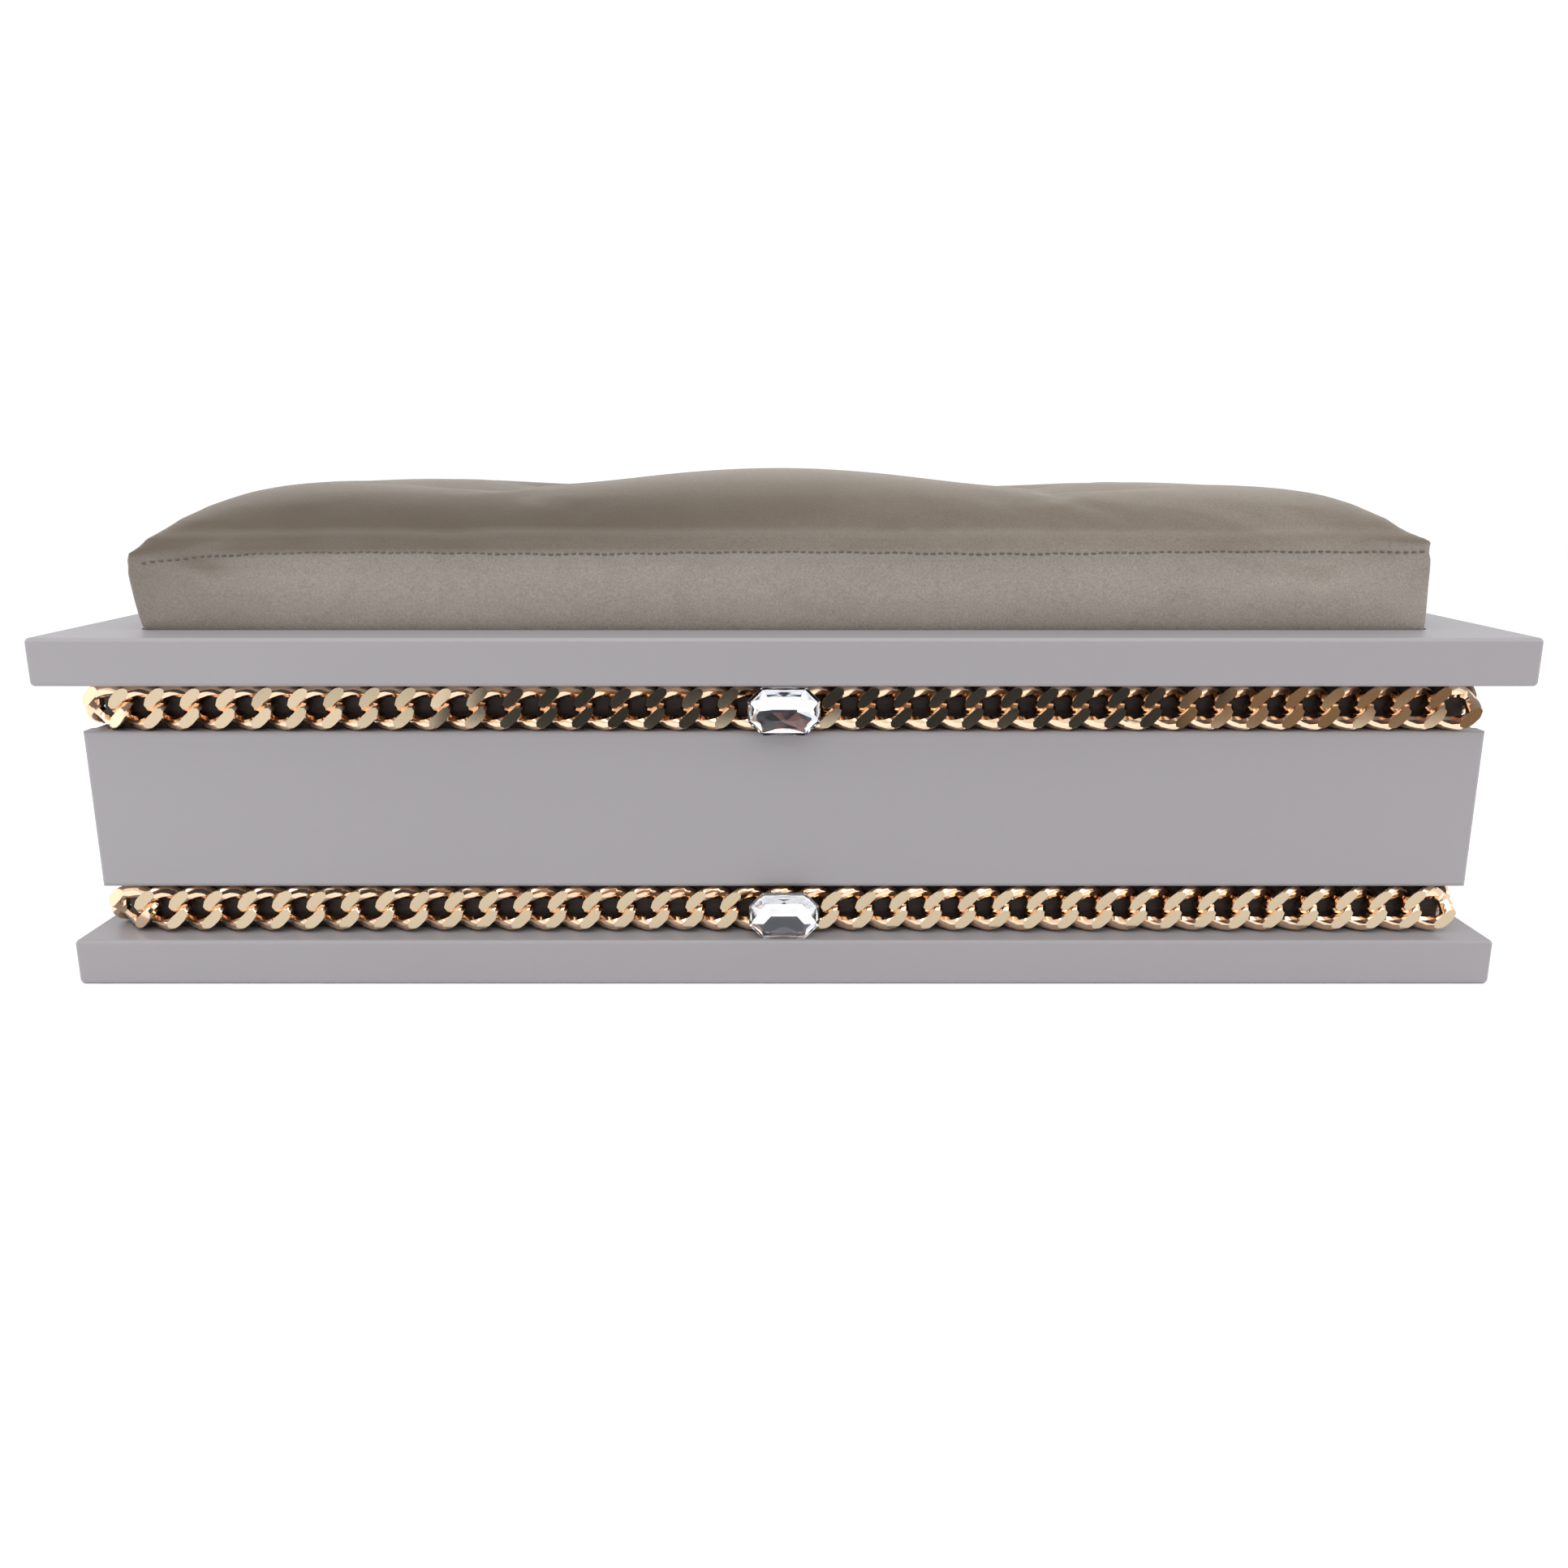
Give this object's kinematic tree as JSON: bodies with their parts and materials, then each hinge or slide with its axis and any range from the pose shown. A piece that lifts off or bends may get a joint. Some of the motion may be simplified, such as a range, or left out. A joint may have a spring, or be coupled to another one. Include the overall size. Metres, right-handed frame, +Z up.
{
  "type": "jewellery chest",
  "caption": "Low wide jewellery chest: hinged cushioned lid over a lined tray, slim and deep drawers with crystal pulls, and curb chain set in the recessed bands.",
  "frame": {"origin": "centre of the base slab's flat underside", "axes": "+X to the right along the width, -Y out of the front (drawers open that way), +Z up"},
  "size_m": [0.556, 0.38, 0.198],
  "materials": {
    "paint": "satin lacquer on board, greyish lilac",
    "dark_wood": "near-black brown stain, matt",
    "ply": "bare birch plywood, lightly sealed",
    "velvet": "taupe velvet, short pile",
    "lining": "grey-brown velvet lining",
    "felt": "dark felt",
    "chain": "diamond-cut pale gold plate",
    "brass": "satin brass",
    "steel": "zinc plated",
    "crystal": "clear faceted crystal",
    "mirror": "silvered glass"
  },
  "bodies": {
    "case": {"base_slab": "paint", "base_felt": "felt", "base_screws": "steel", "side_core_left": "dark_wood", "side_core_right": "dark_wood", "side_panel_left": "paint", "side_panel_right": "paint", "back_core": "dark_wood", "back_panel": "paint", "dust_board": "ply", "tray_floor": "ply", "tray_front_rail": "dark_wood", "upper_runner_left": "ply", "upper_runner_right": "ply", "upper_stop": "ply", "lower_stop": "ply", "upper_side_chains": "chain", "lower_side_chains": "chain", "tray_lining": "lining", "ring_rolls": "lining", "hinge_base_leaf_left": "brass", "hinge_base_leaf_right": "brass", "hinge_pins": "steel", "hinge_base_screws": "brass"},
    "lid": {"lid_slab": "paint", "mirror": "mirror", "mirror_trim": "brass", "hinge_lid_leaf_left": "brass", "hinge_lid_leaf_right": "brass", "hinge_lid_screws": "brass", "cushion_board": "ply", "cushion": "velvet", "cushion_buttons": "velvet"},
    "upper_drawer": {"upper_front_core": "dark_wood", "upper_chain_strip": "dark_wood", "upper_chain": "chain", "upper_side_left": "ply", "upper_side_right": "ply", "upper_back": "ply", "upper_bottom": "ply", "upper_lining": "lining", "upper_pull_crystal": "crystal", "upper_pull_cup": "brass", "upper_pull_nut": "brass", "upper_front_panel": "paint", "upper_divider_long": "ply", "upper_divider_left": "ply", "upper_divider_right": "ply"},
    "lower_drawer": {"lower_front_core": "dark_wood", "lower_chain_strip": "dark_wood", "lower_chain": "chain", "lower_side_left": "ply", "lower_side_right": "ply", "lower_back": "ply", "lower_bottom": "ply", "lower_lining": "lining", "lower_pull_crystal": "crystal", "lower_pull_cup": "brass", "lower_pull_nut": "brass"}
  },
  "joints": [
    {"name": "lid_hinge", "type": "hinge", "parent": "case", "child": "lid", "pos_m": [0, 0.1822, 0.1145], "axis": [-1, 0, 0], "range_deg": [0, 95]},
    {"name": "upper_drawer_slide", "type": "slide", "parent": "case", "child": "upper_drawer", "axis": [0, -1, 0], "range_m": [0, 0.22]},
    {"name": "lower_drawer_slide", "type": "slide", "parent": "case", "child": "lower_drawer", "axis": [0, -1, 0], "range_m": [0, 0.22]}
  ]
}
